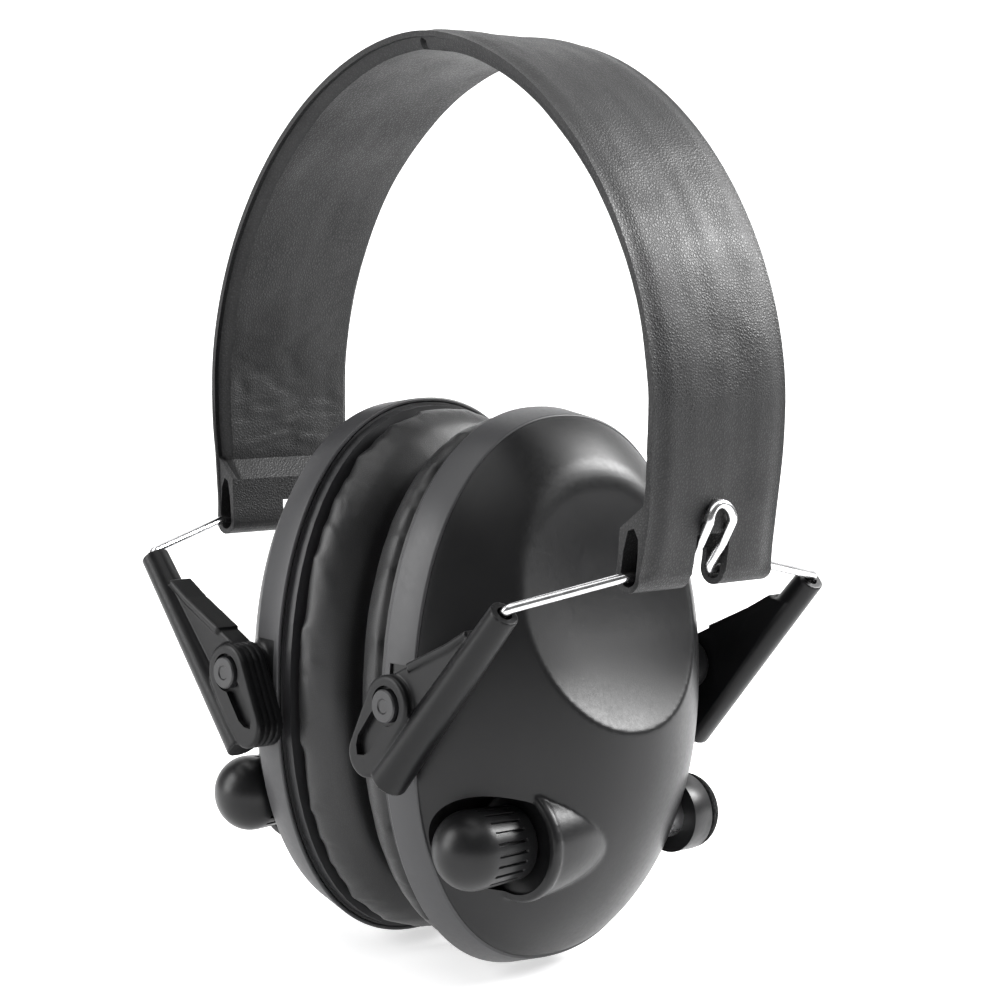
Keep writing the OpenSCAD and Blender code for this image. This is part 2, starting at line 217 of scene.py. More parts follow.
def joined(name, parts):
    """One object with the parts' meshes side by side."""
    bm = bmesh.new()
    for part in parts:
        bm.from_mesh(part.data)
        bpy.data.objects.remove(part)
    mesh = bpy.data.meshes.new(name)
    bm.to_mesh(mesh)
    bm.free()
    obj = bpy.data.objects.new(name, mesh)
    bpy.context.scene.collection.objects.link(obj)
    return obj


def melted(obj, voxel, smooth):
    """One skin over everything in obj, with soft inner and outer corners."""
    mod = obj.modifiers.new("skin", "REMESH")
    mod.mode, mod.voxel_size, mod.adaptivity = "VOXEL", voxel * METRE, 0
    soft = obj.modifiers.new("soft", "SMOOTH")
    soft.factor, soft.iterations = 0.5, smooth
    apply_modifiers(obj)
    obj.data.shade_smooth()
    return obj


def mirrored(obj, name, across):
    """A copy mirrored across a plane through the origin. across is 0 for X and 1 for Y."""
    copy = bpy.data.objects.new(name, obj.data.copy())
    bpy.context.scene.collection.objects.link(copy)
    scale = [1, 1, 1]
    scale[across] = -1
    copy.data.transform(Matrix.Diagonal((*scale, 1)))
    copy.data.flip_normals()
    return copy


# ---- Outlines ----

def signed_power(value, power):
    return math.copysign(abs(value) ** power, value)


def cup_outline(half_w, half_h, count=160):
    """Points of the cup's outline as (y, z)."""
    angles = [2 * math.pi * i / count for i in range(count)]
    return [(half_w * signed_power(math.cos(a), 2 / CUP_POWER),
             half_h * signed_power(math.sin(a), 2 / CUP_POWER)) for a in angles]


def cup_ring(x, inset, count=160):
    return [(x, y, z) for y, z in cup_outline(CUP_W - inset, CUP_H - inset, count)]


def profile_ring(name, profile, count=160):
    """A closed ring round the cup. profile is a loop of (x, inset from the cup's outline)."""
    return torus_loft(name, [cup_ring(x, inset, count) for x, inset in profile])


def rounded_box_profile(x0, x1, in0, in1, radius, steps=4):
    """A loop of (x, inset) with rounded corners."""
    loop = []
    corners = [(x1 - radius, in0 + radius, -90), (x1 - radius, in1 - radius, 0),
               (x0 + radius, in1 - radius, 90), (x0 + radius, in0 + radius, 180)]
    for cx, cy, start in corners:
        for i in range(steps + 1):
            a = math.radians(start + 90 * i / steps)
            loop.append((cx + radius * math.cos(a), cy + radius * math.sin(a)))
    return loop


# ---- Materials ----

class Nodes:
    """A short way to write a node tree for one material."""

    def __init__(self, name):
        self.material = bpy.data.materials.new(name)
        self.material.use_nodes = True
        self.tree = self.material.node_tree
        self.tree.nodes.clear()
        self.out = self.tree.nodes.new("ShaderNodeOutputMaterial")
        self.shader = self.tree.nodes.new("ShaderNodeBsdfPrincipled")
        self.tree.links.new(self.shader.outputs[0], self.out.inputs[0])
        coordinates = self.tree.nodes.new("ShaderNodeTexCoord")
        self.place = coordinates.outputs["Object"]

    def node(self, kind, inputs=(), **settings):
        made = self.tree.nodes.new("ShaderNode" + kind)
        for key, value in settings.items():
            setattr(made, key, value)
        for key, value in dict(inputs).items():
            if hasattr(value, "is_output") or isinstance(value, bpy.types.NodeSocket):
                self.tree.links.new(value, made.inputs[key])
            else:
                made.inputs[key].default_value = value
        return made

    def noise(self, scale, detail=4.0, roughness=0.55):
        return self.node("TexNoise", {"Vector": self.place, "Scale": scale, "Detail": detail,
                                      "Roughness": roughness}).outputs["Fac"]

    def cells(self, scale, randomness=1.0, feature="DISTANCE_TO_EDGE"):
        made = self.node("TexVoronoi", {"Vector": self.place, "Scale": scale, "Randomness": randomness},
                         feature=feature)
        return made.outputs["Distance"]

    def spread(self, value, low, high, from_low=0.0, from_high=1.0):
        return self.node("MapRange", {"Value": value, "From Min": from_low, "From Max": from_high,
                                      "To Min": low, "To Max": high}).outputs["Result"]

    def colours(self, value, *stops):
        ramp = self.node("ValToRGB", {"Fac": value})
        while len(ramp.color_ramp.elements) < len(stops):
            ramp.color_ramp.elements.new(0.5)
        for element, (place, colour) in zip(ramp.color_ramp.elements, stops):
            element.position = place
            element.color = (*colour, 1)
        return ramp.outputs["Color"]

    def blend_colours(self, factor, a, b):
        made = self.node("MixRGB", {"Fac": factor})
        for key, value in (("Color1", a), ("Color2", b)):
            if isinstance(value, tuple):
                made.inputs[key].default_value = (*value, 1)
            else:
                self.tree.links.new(value, made.inputs[key])
        return made.outputs["Color"]

    def math(self, operation, a, b=0.5):
        return self.node("Math", {0: a, 1: b}, operation=operation).outputs[0]

    def edges(self, sharpen=(0.45, 0.62)):
        """How much a place stands out from what is round it: 1 on outer corners."""
        geometry = self.node("NewGeometry")
        return self.spread(geometry.outputs["Pointiness"], 0.0, 1.0, *sharpen)

    def bump(self, height, distance, strength=1.0, below=None):
        inputs = {"Height": height, "Distance": distance * METRE, "Strength": strength}
        if below is not None:
            inputs["Normal"] = below
        return self.node("Bump", inputs).outputs["Normal"]

    def finish(self, colour, roughness, normal=None, **sockets):
        for key, value in (("Base Color", colour), ("Roughness", roughness), ("Normal", normal)):
            if value is None:
                continue
            if isinstance(value, bpy.types.NodeSocket):
                self.tree.links.new(value, self.shader.inputs[key])
            else:
                self.shader.inputs[key].default_value = (*value, 1) if isinstance(value,
                                                                                  tuple) else value
        for key, value in sockets.items():
            self.shader.inputs[key.replace("_", " ")].default_value = value
        return self.material


# How fine the spark texture of the moulds is
SPARK_SCALE = 2600


def moulded_plastic(name, dark, light, roughness=0.5, grain=0.02, specular=0.5):
    """Moulded plastic with a fine spark texture, faint flow marks and paler outer corners, which are a
    painted highlight.
    """
    n = Nodes(name)
    cloud = n.noise(45, 3)
    scuff = n.noise(900, 5, 0.7)
    colour = n.blend_colours(cloud, dark, light)
    # The outer corners are blended towards a colour 2.2 times the light tone: a painted highlight along the
    # edges.
    colour = n.blend_colours(n.math("MULTIPLY", n.edges(), 0.35), colour, tuple(c * 2.2 for c in light))
    rough = n.spread(n.math("ADD", n.math("MULTIPLY", scuff, 0.5), n.math("MULTIPLY", cloud, 0.5)),
                     roughness - 0.07, roughness + 0.09, 0.3, 0.7)
    fine = n.bump(n.noise(SPARK_SCALE, 2), grain, 0.6)
    normal = n.bump(n.noise(160, 2), 0.03, 0.25, fine)
    return n.finish(colour, rough, normal, Specular_IOR_Level=specular)


def leatherette(name, dark, light, roughness=0.5, pebble=1500, depth=0.05, specular=0.5):
    """Coated cloth with a pebbled grain, creases, slightly glossier high spots and painted shade in the
    valleys between the pebbles.
    """
    n = Nodes(name)
    grain = n.cells(pebble)
    pits = n.spread(grain, 0.0, 1.0, 0.0, 0.32)
    broad = n.noise(70, 4)
    fine = n.noise(pebble * 2.2, 3)
    # The colour goes dark in the low valleys between the pebbles: a painted shade.
    colour = n.blend_colours(n.math("MULTIPLY", broad, pits), dark, light)
    rough = n.spread(n.math("ADD", n.math("MULTIPLY", pits, -0.35), broad), roughness - 0.1,
                     roughness + 0.12,
                     0.0, 0.6)
    normal = n.bump(broad, 0.12, 0.35)
    normal = n.bump(fine, depth * 0.4, 0.5, normal)
    normal = n.bump(pits, depth, 0.7, normal)
    return n.finish(colour, rough, normal, Specular_IOR_Level=specular)


def bright_wire(name):
    """Drawn and polished steel wire, with fine lengthwise scratches and a little haze."""
    n = Nodes(name)
    haze = n.noise(300, 4)
    scratch = n.noise(5200, 2)
    colour = n.colours(haze, (0.3, (0.62, 0.62, 0.63)), (0.75, (0.82, 0.82, 0.83)))
    rough = n.spread(haze, 0.14, 0.3, 0.3, 0.7)
    return n.finish(colour, rough, n.bump(scratch, 0.01, 0.3), Metallic=1.0)


def plain_metal(name, colour, roughness):
    n = Nodes(name)
    haze = n.noise(260, 5)
    brushed = n.noise(3000, 2)
    tone = n.blend_colours(haze, tuple(c * 0.8 for c in colour), colour)
    rough = n.spread(haze, roughness - 0.08, roughness + 0.1, 0.3, 0.7)
    return n.finish(tone, rough, n.bump(brushed, 0.01, 0.4), Metallic=1.0)


def foam(name, dark, light, scale=1100, depth=0.35):
    """Open-cell foam: pores whose low bottoms are painted dark, a painted shade."""
    n = Nodes(name)
    pores = n.cells(scale, feature="F1")
    hollow = n.spread(pores, 1.0, 0.0, 0.1, 0.7)
    fine = n.noise(scale * 2.5, 3)
    # The colour is dark where the bump is low, at the pores' bottoms: a painted shade.
    colour = n.blend_colours(hollow, dark, light)
    normal = n.bump(fine, depth * 0.3, 0.6)
    normal = n.bump(hollow, depth, 0.8, normal)
    return n.finish(colour, n.spread(fine, 0.85, 1.0), normal, Specular_IOR_Level=0.2)


def circuit_board(name):
    """Green board with paler tracks."""
    n = Nodes(name)
    tracks = n.cells(420, 0.3)
    line = n.spread(tracks, 1.0, 0.0, 0.02, 0.06)
    colour = n.blend_colours(line, (0.01, 0.09, 0.03), (0.03, 0.2, 0.08))
    return n.finish(colour, n.spread(n.noise(500), 0.3, 0.45), n.bump(line, 0.03, 0.5))


def cell_sleeve(name):
    """A printed battery sleeve in two plain colours, with no words."""
    n = Nodes(name)
    parts = n.node("SeparateXYZ", {"Vector": n.place})
    band = n.math("GREATER_THAN", parts.outputs["Y"], 0.009)
    colour = n.blend_colours(band, (0.03, 0.03, 0.035), (0.45, 0.24, 0.05))
    return n.finish(colour, n.spread(n.noise(300), 0.25, 0.4), n.bump(n.noise(200), 0.05, 0.3),
                    Metallic=0.4)


MATERIALS = {
    "band_leatherette": leatherette("Band leatherette", (0.005, 0.005, 0.0055),
                                    (0.016, 0.016, 0.017), 0.48, 1500, 0.06, 0.36),
    "cushion_leatherette": leatherette("Cushion leatherette", (0.008, 0.008, 0.0085),
                                       (0.015, 0.015, 0.016), 0.4, 2600, 0.02),
    "shell_plastic": moulded_plastic("Shell plastic", (0.0055, 0.0055, 0.006),
                                     (0.0085, 0.0085, 0.009), 0.36, 0.012, specular=0.28),
    "rim_plastic": moulded_plastic("Rim plastic", (0.03, 0.03, 0.032), (0.04, 0.04, 0.042), 0.4,
                                   0.01, specular=0.4),
    "arm_plastic": moulded_plastic("Arm plastic", (0.003, 0.003, 0.0033), (0.005, 0.005, 0.0055),
                                   0.34, 0.01, specular=0.22),
    "pin_plastic": moulded_plastic("Pin plastic", (0.008, 0.008, 0.009), (0.012, 0.012, 0.013),
                                   0.34, 0.01),
    "knob_plastic": moulded_plastic("Knob plastic", (0.005, 0.005, 0.0055), (0.009, 0.009, 0.0095),
                                    0.34, 0.01, specular=0.3),
    "inner_plastic": moulded_plastic("Inner plastic", (0.008, 0.008, 0.009), (0.014, 0.014, 0.015),
                                     0.45, 0.012),
    "speaker_plastic": moulded_plastic("Speaker plastic", (0.015, 0.015, 0.016), (0.03, 0.03, 0.03),
                                       0.5),
    "wire_chrome": bright_wire("Bail wire"),
    "spring_steel": plain_metal("Spring steel", (0.42, 0.42, 0.44), 0.35),
    "control_steel": plain_metal("Control can", (0.5, 0.5, 0.5), 0.3),
    "mic_metal": plain_metal("Microphone can", (0.6, 0.6, 0.61), 0.3),
    "screw_steel": plain_metal("Screw steel", (0.4, 0.4, 0.42), 0.3),
    "mic_foam": foam("Microphone foam", (0.002, 0.002, 0.002), (0.012, 0.012, 0.013)),
    "liner_foam": foam("Liner foam", (0.004, 0.004, 0.004), (0.03, 0.03, 0.03), 700, 0.5),
    "band_foam": foam("Band foam", (0.01, 0.01, 0.01), (0.05, 0.05, 0.05), 800, 0.3),
    "board_green": circuit_board("Circuit board"),
    "cell_jacket": cell_sleeve("Cell sleeve"),
}
SLOT_OF = {s["node"]: s["material_slot"] for s in frame["record"]["subparts"]}


def dress(obj, slot):
    """Gives a new piece the material of its slot."""
    obj.data.materials.clear()
    obj.data.materials.append(MATERIALS[slot])
    return obj


def dress_cad_nodes():
    """Every CAD node gets the material of its slot."""
    for name, obj in frame["nodes"].items():
        if not obj.data.materials:
            obj.data.materials.append(None)
        for place in obj.material_slots:
            place.material = MATERIALS[SLOT_OF[name]]


# ---- Cup shell ----

def dome_height(share):
    """Height of the dome over the rim, at a share of the way out from its middle."""
    return DOME_H * (1 - share ** 2.1) ** 0.85


SCOOP_MIDDLE, SCOOP_R, SCOOP_FLAT = (119.9, 41.7), 84.0, 0.454


def scoop_height(y, z):
    """X of the scoop's surface over a place on the cup."""
    inside = SCOOP_R ** 2 - SCOOP_FLAT * y * y - (z - SCOOP_MIDDLE[1]) ** 2
    return SCOOP_MIDDLE[0] - math.sqrt(max(inside, 0))


def soft_min(a, b, width):
    """The smaller of two heights, blended over a width."""
    h = max(width - abs(a - b), 0) / width
    return min(a, b) - h * h * width / 4


def shell_height(share, y, z):
    dome = RIM_OUT - 0.2 + dome_height(share)
    crisp = 0.2 + 2.6 * min(max((z - 12) / 34, 0), 1)
    return soft_min(dome, scoop_height(y, z), crisp)


def tapered(x, y, z):
    """The cup's edge draws in from the rim's inner edge to its outer edge, most at the bottom."""
    t = min(max((x - RIM_IN) / (RIM_OUT - RIM_IN), 0), 1)
    return x, y * (1 - 0.02 * t), z * (1 - (0.045 if z < 0 else 0.022) * t)


def shell_blank(count=240, rows=96):
    """The outside of a cup, closed at the back, without its pocket and boss."""
    back = RIM_IN + 1.5
    rings = [[tapered(x, y, z) for y, z in cup_outline(CUP_W, CUP_H, count)]
             for x in (back, back + 3, RIM_OUT - 0.4)]
    for r in range(rows):
        share = 1 - (r / rows) ** 1.25
        ring = [tapered(RIM_OUT, y, z)[1:] for y, z in cup_outline(CUP_W * share, CUP_H * share, count)]
        rings.append([(shell_height(share, y, z), y, z) for y, z in ring])
    return loft("cup_shell", rings)


def fairing():
    """The hump behind the knob's pocket, which dies away into the dome."""
    rings = []
    for i in range(17):
        t = i / 16
        radius = (POCKET_R + 1.4) * math.sqrt(max(1 - t ** 2, 0.002))
        rings.append(ring_y(KNOB[0] + 0.9 - 0.9 * t, KNOB[1] + 0.4 * t, POCKET_END - 1.2 + 28 * t,
                            radius, 72))
    return loft("fairing", rings)


def cup_shell():
    parts = [shell_blank(), fairing(),
             lathe_y("lip", KNOB[0] + 0.8, KNOB[1], [(POCKET_END - 0.9, POCKET_R + 0.5),
                                                    (POCKET_END - 0.7, POCKET_R + 1.6),
                                                    (POCKET_END + 0.6, POCKET_R + 1.7),
                                                    (POCKET_END + 1.0, POCKET_R + 1.0)], 96)]
    for sign in (-1, 1):
        pad = [(sign * (CUP_W - 6), BOSS_R - 0.6), (sign * (CUP_W - 0.2), BOSS_R - 0.6),
               (sign * (CUP_W + 0.2), BOSS_R - 1)]
        parts.append(lathe_y("pad", PIVOT_X, PIVOT_Z, pad, 64))
    shell = melted(joined("cup_shell", parts), 0.5, 3)
    pocket = lathe_y("pocket", KNOB[0] + 0.8, KNOB[1], [(-60, POCKET_R), (POCKET_END - 0.4, POCKET_R),
                                                        (POCKET_END, POCKET_R - 0.5)], 128)
    combine(shell, pocket, "DIFFERENCE")
    seat = lathe_y("seat", MIC[0] + 0.4, MIC[2], [(MIC[1], MIC_R + 0.7), (60, MIC_R + 0.7)], 96)
    combine(shell, seat, "DIFFERENCE")
    boss = lathe_y("boss", MIC[0], MIC[2], [(MIC[1] - 3, MIC_R), (MIC_EDGE - 0.4, MIC_R),
                                            (MIC_EDGE, MIC_R - 0.4)], 72)
    shell = joined("cup_shell", [shell, boss])
    sharpen(shell, 50)
    return shell


# ---- Simple moulded pieces ----

def cup_rim():
    """The smooth band round the cup, left out behind the arms from a little below its inner edge."""
    profile = rounded_box_profile(RIM_IN, RIM_OUT - 0.2, -0.45, 0.5, 0.4)
    rim = profile_ring("cup_rim", profile, 240)
    for vert in rim.data.vertices:
        vert.co = Vector(tapered(*(vert.co / METRE))) * METRE
    combine(rim, box_object("gap", (RIM_IN + 1.6, -60, -11), (RIM_OUT + 4, 60, 9)), "DIFFERENCE")
    sharpen(rim, 40)
    return rim


def volume_knob(ribs=22, sides=528):
    """The domed knob: a smooth half ball, then a barrel with narrow grooves."""
    front = KNOB_BACK - KNOB_LEN
    rings = []
    for i in range(20):
        a = math.radians(1 + 89 * i / 19)
        rings.append((front - KNOB_CROWN * math.cos(a), KNOB_R * math.sin(a), 0))
    rings += [(front + 0.6, KNOB_R, 0), (front + 0.9, KNOB_R - 0.03, 1),
              (KNOB_BACK - 3.4, KNOB_R - 0.42, 1),
              (KNOB_BACK - 3.1, KNOB_R - 0.44, 0), (KNOB_BACK - 0.5, KNOB_R - 0.6, 0), (KNOB_BACK,
                                                                                        KNOB_R - 1.1, 0)]
    made = []
    for y, r, grooved in rings:
        ring = []
        for k in range(sides):
            a = 2 * math.pi * k / sides
            wave = math.cos(ribs * a)
            radius = r - (0.55 * min(max((wave - 0.62) / 0.2, 0), 1) if grooved else 0)
            ring.append((KNOB[0] + radius * math.cos(a), y, KNOB[1] + radius * math.sin(a)))
        made.append(ring)
    knob = loft("volume_knob", made)
    sharpen(knob, 28)
    shaft = lathe_y("shaft", KNOB[0], KNOB[1], [(KNOB_BACK - 2, SHAFT_R), (-13.9, SHAFT_R)], 40)
    return joined("volume_knob", [knob, shaft])


def mic_foam():
    profile = [(MIC[1] - 0.4, 6.9), (MIC_EDGE - 0.1, 6.9)]
    for i in range(13):
        a = math.pi / 2 * i / 12
        profile.append((MIC_EDGE + 0.1 + 5.6 * math.sin(a), (MIC_R - 0.1) * math.cos(a) + 0.02))
    return lathe_y("mic_foam", MIC[0], MIC[2], profile, 72)


# ---- Arms, pins and wire ----

def along_leg(t, drop=0.0):
    """A place on the wire leg's centre line, t below the elbow, moved square to it by drop."""
    return (ELBOW[0] + LEG_DIR.x * t - LEG_DIR.z * drop, ELBOW[2] + LEG_DIR.z * t + LEG_DIR.x * drop)


def leg_ring(t, radius, sides=40):
    ring = []
    for k in range(sides):
        a = 2 * math.pi * k / sides
        x, z = along_leg(t, radius * math.cos(a))
        ring.append((x, -ELBOW[1] + radius * math.sin(a), z))
    return ring


def boss_outline(inset, steps=18):
    """The boss's outline in the X-Z plane: two rounds with straight sides between them."""
    dx, dz = BOSS_FOOT[0] - PIVOT_X, BOSS_FOOT[1] - PIVOT_Z
    facing = math.atan2(dz, dx)
    points = []
    for x, z, r, start in ((BOSS_FOOT[0], BOSS_FOOT[1], BOSS_FOOT_R, facing - math.pi / 2),
                           (PIVOT_X, PIVOT_Z, BOSS_R, facing + math.pi / 2)):
        for i in range(steps + 1):
            a = start + math.pi * i / steps
            points.append((x + (r - inset) * math.cos(a), z + (r - inset) * math.sin(a)))
    return points


def keyhole():
    """The recess round the pin's head, with a slot that runs down to a point."""
    point = (17.4, -9.0)
    dx, dz = point[0] - PIVOT_X, point[1] - PIVOT_Z
    length = math.hypot(dx, dz)
    ux, uz = dx / length, dz / length
    start = math.atan2(uz, ux)
    outline = []
    for i in range(25):
        a = start + math.radians(34) + math.radians(292) * i / 24
        outline.append((PIVOT_X + 4.1 * math.cos(a), PIVOT_Z + 4.1 * math.sin(a)))
    for share, across in ((0.76, -2.3), (0.9, -1.5), (1.0, 0), (0.9, 1.5), (0.76, 2.3)):
        outline.append((PIVOT_X + ux * length * share - uz * across,
                        PIVOT_Z + uz * length * share + ux * across))
    return outline


def rear_arm():
    """The near-side arm, at negative Y: a tapered tube, a web and a grooved boss with a keyhole recess."""
    barrel = loft("barrel", [leg_ring(t, 3.0 + 1.0 * t / ARM_LEN) for t in
                             [1.2 + (ARM_LEN - 1.2) * i / 12 for i in range(13)]])
    web = [(PIVOT_X - 4.6, PIVOT_Z + 2.5), (PIVOT_X - 0.5, PIVOT_Z + 6.0), (30.3, 10.4),
           (41.8, 15.7), (47.4, 19.1),
           along_leg(8, 0.5), along_leg(46, 0.5), along_leg(46, -3)]
    plate = prism_y("web", web, -ELBOW[1] - 1.7, -ARM_IN)
    lip = [(30.1, 10.9), (41.4, 16.2), (47.4, 19.6), (47.7, 18.4), (42.2, 14.9), (30.9, 9.4)]
    flange = prism_y("flange", lip, -ELBOW[1] - 2.3, -ARM_IN)
    levels = [(-ARM_OUT, 0.55), (-ARM_OUT + 0.15, 0.2), (-ARM_OUT + 0.5, 0)]
    for groove in (-46.6, -45.0, -43.5):
        levels += [(groove - 0.3, 0), (groove - 0.16, 0.4), (groove + 0.16, 0.4), (groove + 0.3, 0)]
    levels.append((-ARM_IN, 0))
    boss = loft("boss", [[(x, y, z) for x, z in boss_outline(inset)] for y, inset in levels])
    arm = melted(joined("arm", [barrel, plate, flange, boss]), 0.28, 2)
    combine(arm, box_object("flat", (-10, -ARM_IN, -70), (90, -20, 70)), "DIFFERENCE")
    combine(arm, prism_y("keyhole", keyhole(), -60, -ARM_OUT + 1.3), "DIFFERENCE")
    combine(arm, loft("bore", [leg_ring(t, 1.6, 24) for t in (-4, 3.2)]), "DIFFERENCE")
    sharpen(arm, 40)
    return arm


def sharpen(obj, degrees):
    """Marks edges that turn more than an angle as sharp, so that flat faces shade flat."""
    bm = bmesh.new()
    bm.from_mesh(obj.data)
    for edge in bm.edges:
        turned = edge.calc_face_angle(None)
        edge.smooth = turned is not None and turned < math.radians(degrees)
    bm.to_mesh(obj.data)
    bm.free()


def rear_pin():
    profile = [(-33, 2.5), (-ARM_OUT + 1.1, 2.5), (-ARM_OUT + 1.1, 3.4), (-ARM_OUT - 0.5, 3.4),
               (-ARM_OUT - 0.8, 3.15),
               (-ARM_OUT - 0.8, 1.6), (-ARM_OUT - 0.55, 1.35), (-ARM_OUT - 0.55, 0.05)]
    pin = lathe_y("pin", PIVOT_X, PIVOT_Z, profile, 48)
    sharpen(pin, 35)
    return pin


def bail():
    """The wire: two legs, two elbows, a run through the hem and a hook over the hem's outside."""
    half, top = 3.4, (70.1, 39.9)
    hook = [Vector((top[0] - 0.25 * (1 - math.cos(a)), half * math.cos(a), top[1] + half * math.sin(a)))
            for a in [math.radians(t) for t in range(10, 91, 10)]]
    start = filleted([Vector(ELBOW) + LEG_DIR * LEG_LEN, Vector(ELBOW),
                      Vector((HEM_X, BAND_W / 2 + 1.2, HEM_Z)),
                      Vector((HEM_X, half, HEM_Z)), Vector((67.6, half, 35.2)), Vector((top[0],
                                                                                        half, top[1]))], 1.6)
    near = start + hook[:-1]
    far = [Vector((p.x, -p.y, p.z)) for p in reversed(near)]
    return tube("bail", near + [hook[-1]] + far, WIRE_D / 2, 28)


# ---- Headband ----

def band_line(inset, steps=90):
    """The right half of the arch, from the top down to the hem, as (x, z)."""
    span, rise = BAND_SPAN / 2 - inset, BAND_TOP - BAND_WAIST - inset
    line = []
    for i in range(steps + 1):
        a = math.pi / 2 * i / steps
        line.append((span * math.sin(a) ** (2 / BAND_POWER),
                     BAND_WAIST + rise * math.cos(a) ** (2 / BAND_POWER)))
    return line


def resampled(line, count):
    """Evenly spaced points along a line."""
    points = np.array(line, float)
    along = np.r_[0, np.cumsum(np.linalg.norm(np.diff(points, axis=0), axis=1))]
    at = np.linspace(0, along[-1], count)
    return np.stack([np.interp(at, along, points[:, 0]), np.interp(at, along, points[:, 1])], axis=1)


def centre_line(count=150):
    """The band's middle surface from the top to the hem, with its outward normals."""
    line = band_line(1.2)
    lean = BAND_SPAN / 2 - 1.2 - (HEM_X + HEM_R - 0.8)
    drop = BAND_WAIST - HEM_Z
    line += [(BAND_SPAN / 2 - 1.2 - lean * t * t, BAND_WAIST - drop * t)
             for t in [i / 20 for i in range(1, 21)]]
    points = resampled(line, count)
    along = np.gradient(points, axis=0)
    along /= np.linalg.norm(along, axis=1)[:, None]
    normals = np.stack([-along[:, 1], along[:, 0]], axis=1)
    return points, normals


def band_half_width(z):
    """The band narrows a little above the hem, and flares at it."""
    waist = math.exp(-((z - 40) / 9) ** 2)
    flare = max(0.0, (33 - z) / 8)
    return BAND_W / 2 - 0.7 * waist + 0.5 * flare


def pillow(u, edge, middle, flat=0.72):
    """Thickness across the band: u is 0 in the middle and 1 at the edge."""
    u = abs(u)
    rise = 1 - max(0.0, (u - flat) / (0.955 - flat)) if u > flat else 1.0
    rise = max(rise, 0.0)
    rise = rise * rise * (3 - 2 * rise)
    return edge + (middle - edge) * rise


def band_cover_half(across=48):
    """The right half of the leatherette cover, with its welded edges and its rolled hem."""
    points, normals = centre_line()
    shares = [math.sin(math.pi / 2 * (2 * j / across - 1)) for j in range(across + 1)]
    rings = []
    for u in shares:
        outer, inner = [], []
        for (x, z), (nx, nz) in zip(points, normals):
            y = u * band_half_width(z)
            ripple = 0.24 * noise.noise(Vector((x * 0.05, y * 0.2, z * 0.05)))
            ripple += 0.14 * noise.noise(Vector((x * 0.15 + 9, y * 0.1, z * 0.15)))
            crease = noise.noise(Vector((x * 0.1 + 30, y * 0.07, z * 0.42)))
            crease = 0.3 * max(0.0, 1 - abs(crease) * 5) * min(max((100 - z) / 40, 0),
                                                               1) * (1 - abs(u) ** 4)
            near_hem = min(max((z - 34) / 12, 0), 1)
            out = pillow(u, 0.55, 1.15) + ripple * (1 - abs(u) ** 6)
            lump = 0.7 * math.exp(-((z - 119) / 5) ** 2) + 0.9 * math.exp(-((z - 72) / 7) ** 2)
            back = pillow(u, 0.6, 0.9 + (2.2 + lump * (1 - u * u)) * near_hem,
                          0.87) - ripple * 0.5 - crease * near_hem
            outer.append((x + nx * out, y, z + nz * out))
            inner.append((x - nx * back, y, z - nz * back))
        rings.append((outer, inner))
    loops = []
    for outer, inner in rings:
        y = outer[-1][1]
        low = outer[-1]
        roll = [(HEM_X + HEM_R * math.cos(a), y, HEM_Z + HEM_R * math.sin(a))
                for a in [math.radians(-t) for t in range(15, 181, 15)]]
        rise = [(HEM_X - HEM_R + 0.2 + 0.9 * t, y, HEM_Z + 13.5 * t) for t in (0.2, 0.45, 0.7)]
        upper = [p for p in inner if p[2] > HEM_Z + 13.5]
        loops.append(outer + roll + rise + list(reversed(upper)))
    count = min(len(loop) for loop in loops)
    loops = [loop if len(loop) == count else loop[:count] for loop in loops]
    band = loft("band_cover", loops)
    tunnel = [(HEM_X + 2.0 * math.cos(a), HEM_Z + 2.0 * math.sin(a)) for a in
              [math.radians(-t) for t in range(0, 181, 15)]]
    tunnel += [(HEM_X - 1.4, HEM_Z + 5), (HEM_X - 0.4, HEM_Z + 9), (HEM_X + 1.0, HEM_Z + 9.6),
               (HEM_X + 2.1, HEM_Z + 7.5), (HEM_X + 2.2, HEM_Z + 4)]
    combine(band, prism_y("tunnel", tunnel, -30, 30), "DIFFERENCE")
    notch = box_object("notch", (HEM_X - 8, -NOTCH_W / 2, HEM_Z - 8),
                       (HEM_X + 8, NOTCH_W / 2, HEM_Z + 4.2))
    combine(band, notch, "DIFFERENCE")
    outer_notch = box_object("notch", (HEM_X + 1.6, -NOTCH_W / 2, HEM_Z),
                             (HEM_X + 10, NOTCH_W / 2, HEM_Z + 7.8))
    combine(band, outer_notch, "DIFFERENCE")
    sharpen(band, 38)
    return band


# ---- Ear cushion ----

def cushion_blank(count=110):
    """A soft ring: fuller and wider at the back, rounded over to its face and into the ear's opening."""
    depth = CUSHION_BACK - CUSHION_FACE
    section = [(1.0, 0.06), (1.0, 0.5), (1.0, 0.97), (0.86, 1.0), (0.62, 0.985), (0.38, 0.93),
               (0.2, 0.83), (0.08, 0.7),
               (0.03, 0.55), (0.06, 0.4), (0.18, 0.22), (0.4, 0.08), (0.66, 0.01), (0.88, 0.0)]
    rings = []
    for share, out in section:
        w, h = EAR_W + (CUP_W - 1.2 - EAR_W) * out, EAR_H + (CUP_H - 1.2 - EAR_H) * out
        rings.append([(CUSHION_FACE + depth * share, y, z) for y, z in cup_outline(w, h, count)])
    return torus_loft("ear_cushion", rings)


